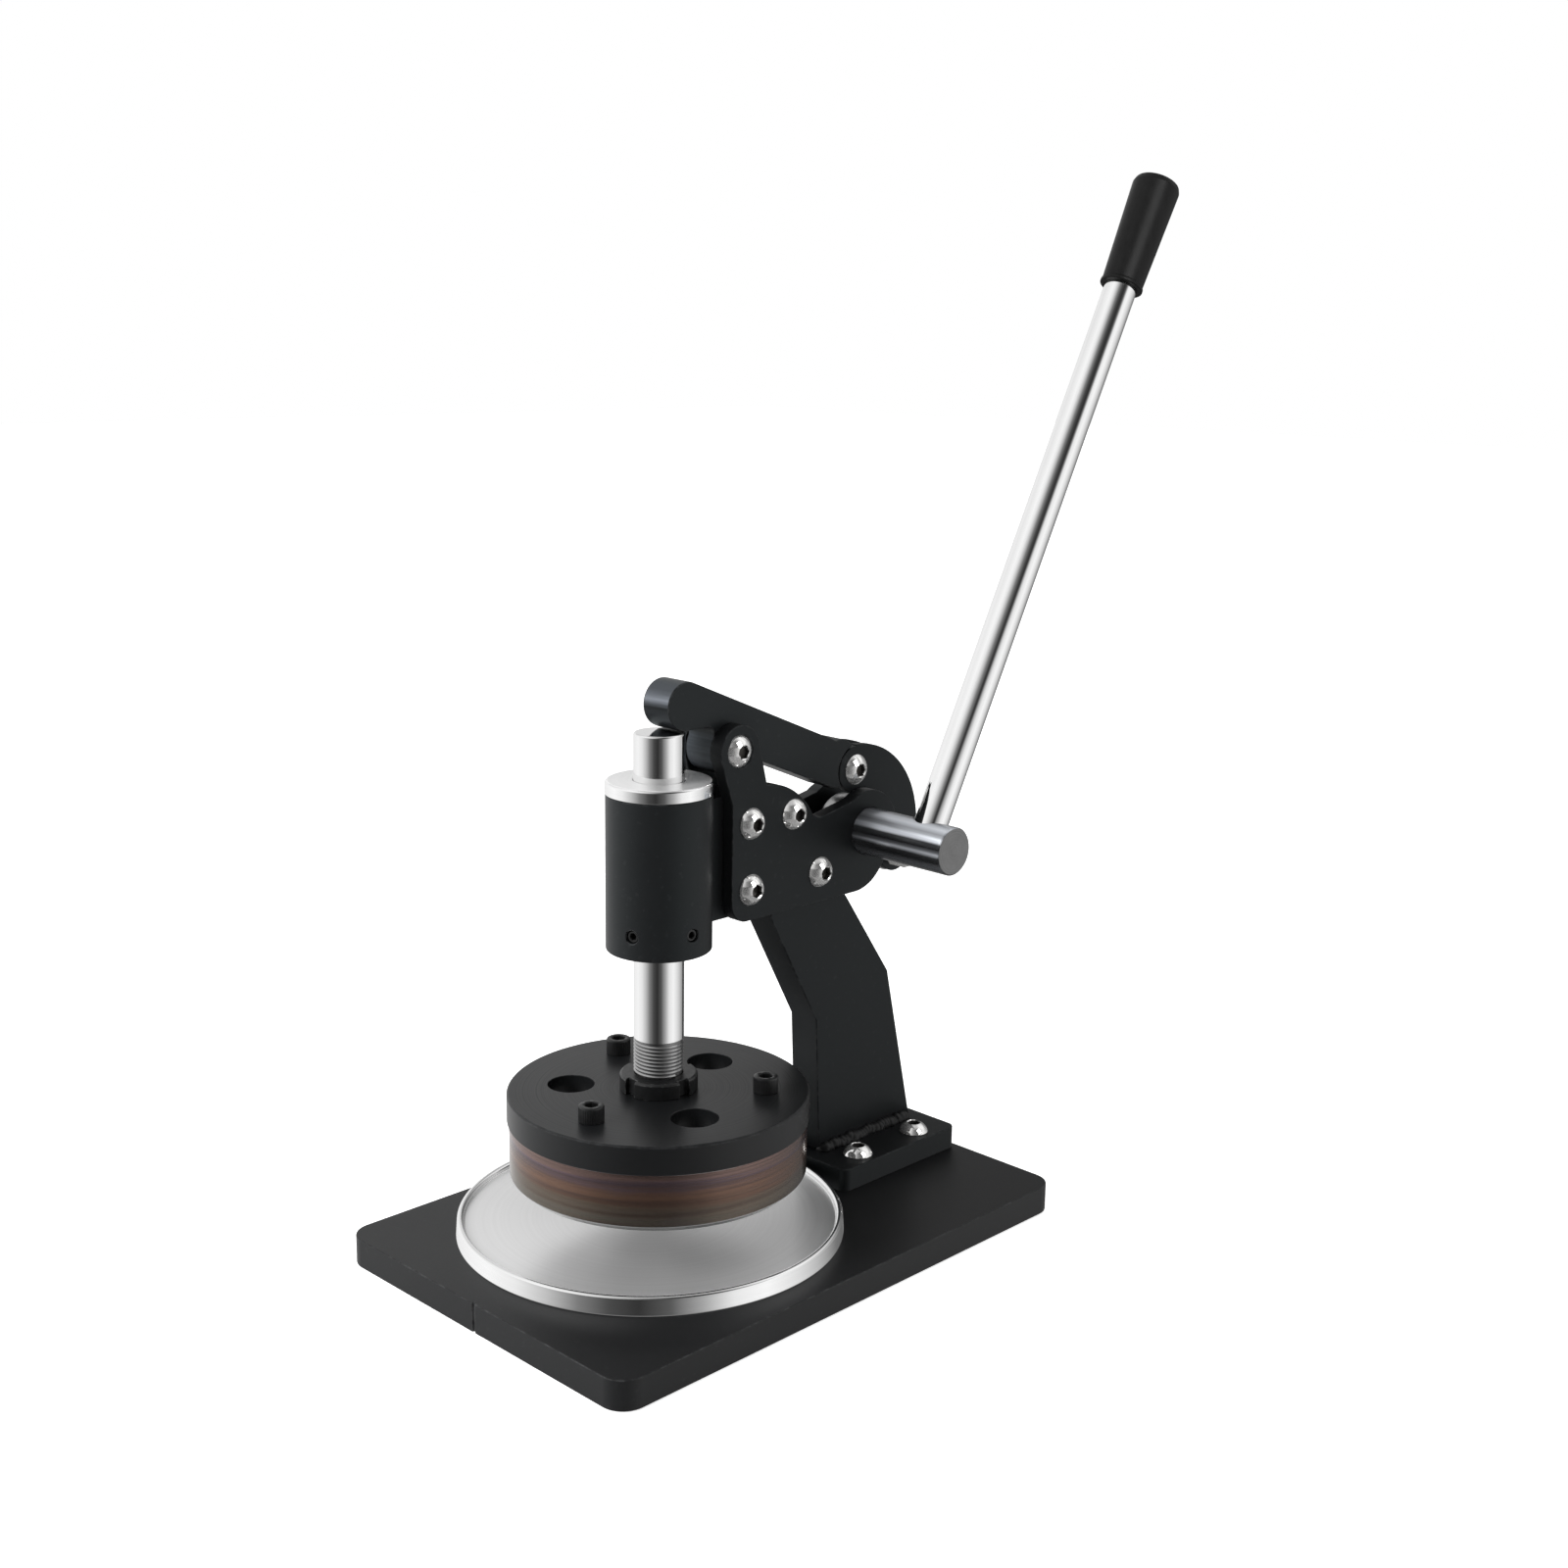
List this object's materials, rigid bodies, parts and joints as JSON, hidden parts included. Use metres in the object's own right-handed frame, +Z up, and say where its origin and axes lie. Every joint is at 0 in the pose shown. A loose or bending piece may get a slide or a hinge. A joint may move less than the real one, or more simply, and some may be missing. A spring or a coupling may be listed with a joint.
{
  "type": "circular sample cutter",
  "caption": "Bench press that cuts round fabric or paper samples: a hand lever turns a crank, links and a rocker that push a ram with a ring blade down to a tray.",
  "frame": {"origin": "middle of the base plate's underside, on the surface the cutter stands on", "axes": "+Z up, +Y to the back where the post stands, +X to the side of the handle"},
  "size_m": [0.167, 0.3479, 0.4336],
  "materials": {
    "black_steel": "satin black",
    "turned_steel": "turned",
    "bright_screw": "bright plated",
    "hard_chrome": "polished",
    "black_oxide": "black oxide, oiled",
    "tinted_steel": "hardened, heat tinted",
    "bush_bronze": "turned",
    "grip_vinyl": "soft matte"
  },
  "bodies": {
    "frame": {"base_plate": "black_steel", "cutting_tray": "turned_steel", "tray_screws": "bright_screw", "post_foot": "black_steel", "post": "black_steel", "weld_beads": "black_steel", "foot_screws": "bright_screw", "right_side_plate": "black_steel", "left_side_plate": "black_steel", "plate_screws": "bright_screw", "plate_nuts": "bright_screw", "sleeve_rib": "black_steel", "guide_sleeve": "black_steel", "upper_bush": "turned_steel", "lower_bush": "bush_bronze", "sleeve_set_screws": "black_oxide", "return_spring": "turned_steel", "rocker_pivot": "bright_screw", "pivot_nut": "bright_screw"},
    "lever": {"crank": "black_steel", "crank_key": "turned_steel", "handle_shaft": "hard_chrome", "shaft_clip": "black_oxide", "handle_rod": "hard_chrome", "handle_grip": "grip_vinyl"},
    "rocker": {"rocker_arm": "black_steel"},
    "links": {"right_link": "black_steel", "left_link": "black_steel", "link_pin": "bright_screw", "crank_pin": "black_oxide"},
    "press_ram": {"ram": "hard_chrome", "ram_collar": "turned_steel", "lock_nut": "black_oxide", "die_plate": "black_oxide", "ring_blade": "tinted_steel", "blade_screws": "black_oxide"}
  },
  "joints": [
    {"name": "handle_turn", "type": "hinge", "parent": "frame", "child": "lever", "pos_m": [0, 0.0755, 0.1618], "axis": [1, 0, 0], "range_deg": [0, 82], "stiffness_Nm_per_rad": 0.8, "springref_deg": -28.65},
    {"name": "rocker_turn", "type": "hinge", "parent": "frame", "child": "rocker", "pos_m": [0, 0, 0.2063], "axis": [1, 0, 0], "range_deg": [0, 31]},
    {"name": "link_turn", "type": "hinge", "parent": "rocker", "child": "links", "pos_m": [0, 0.0736, 0.1874], "axis": [1, 0, 0], "range_deg": [-39, 0]},
    {"name": "ram_slide", "type": "slide", "parent": "frame", "child": "press_ram", "axis": [0, 0, 1], "range_m": [-0.0145, 0], "deforming": ["return_spring"]}
  ],
  "couplings": [
    {"joint": "rocker_turn", "follows": "handle_turn", "ratio": 0.3659},
    {"joint": "link_turn", "follows": "handle_turn", "ratio": -0.4574},
    {"joint": "ram_slide", "follows": "handle_turn", "m_per_rad": -0.009819}
  ]
}
